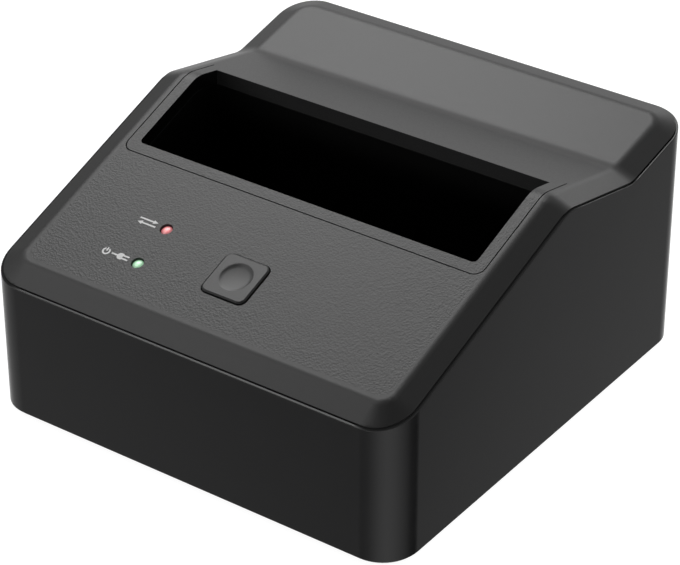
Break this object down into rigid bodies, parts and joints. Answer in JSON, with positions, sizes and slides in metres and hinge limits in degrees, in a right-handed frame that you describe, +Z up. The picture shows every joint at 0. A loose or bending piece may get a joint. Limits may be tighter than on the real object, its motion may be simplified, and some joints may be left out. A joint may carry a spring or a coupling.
{
  "type": "hard drive docking station",
  "caption": "Desktop docking station with an open top slot for a bare hard drive, a push button, small lamps, a data port and a power jack.",
  "frame": {"origin": "middle of the footprint, on the surface that it stands on", "axes": "+Z up, -Y out of the front with the button, +X to the right seen from the front"},
  "size_m": [0.128, 0.1366, 0.069],
  "materials": {
    "base_black": "semi-gloss black moulded plastic",
    "cover_grey": "black plastic with a fine moulded grain that reflects softly, dark grey in a studio light",
    "well_black": "plain matt black plastic",
    "button_grey": "smooth satin black plastic, dark grey in a studio light",
    "lamp_red": "clear pale red lens, lit",
    "lamp_green": "clear pale green lens, lit",
    "foot_rubber": "matt black rubber",
    "steel": "plated steel screws",
    "tinned_wire": "tinned metal leads",
    "contact_gold": "gold plated contacts",
    "port_steel": "nickel plated sheet steel",
    "connector_black": "moulded connector plastic",
    "port_blue": "blue moulded port insert",
    "board_green": "lacquered glass-fibre circuit board",
    "chip_black": "moulded chip packages",
    "ferrite": "dark grey shielded inductors",
    "can_aluminium": "bare aluminium cans",
    "ribbon_white": "thin flexible plastic strip",
    "resistor_ceramic": "small surface-mounted resistors"
  },
  "bodies": {
    "case": {"base_shell": "base_black", "top_cover": "cover_grey", "slot_bezel": "cover_grey", "drive_well": "well_black", "power_switch": "connector_black", "switch_terminals": "tinned_wire", "data_lamp": "lamp_red", "power_lamp": "lamp_green", "lamp_leads": "tinned_wire", "front_board": "board_green", "front_board_screws": "steel", "front_header": "connector_black", "ribbon_cable": "ribbon_white", "main_header": "connector_black", "main_board": "board_green", "main_board_screws": "steel", "sata_connector": "connector_black", "sata_contacts": "contact_gold", "usb_port_shell": "port_steel", "usb_port_insert": "port_blue", "usb_port_contacts": "contact_gold", "dc_jack": "connector_black", "dc_jack_pin": "port_steel", "dc_jack_spring": "contact_gold", "bridge_chip": "chip_black", "bridge_chip_legs": "tinned_wire", "memory_chip": "chip_black", "regulator_chips": "chip_black", "power_inductors": "ferrite", "filter_capacitors": "can_aluminium", "clock_crystal": "can_aluminium", "board_resistors": "resistor_ceramic", "well_screws": "steel", "case_screws": "steel", "rubber_feet": "foot_rubber"},
    "button": {"power_button": "button_grey", "switch_plunger": "connector_black"}
  },
  "joints": [
    {"name": "button_press", "type": "slide", "parent": "case", "child": "button", "axis": [0, 0.3371, -0.9415], "range_m": [0, 0.001], "stiffness_N_per_m": 1200}
  ]
}
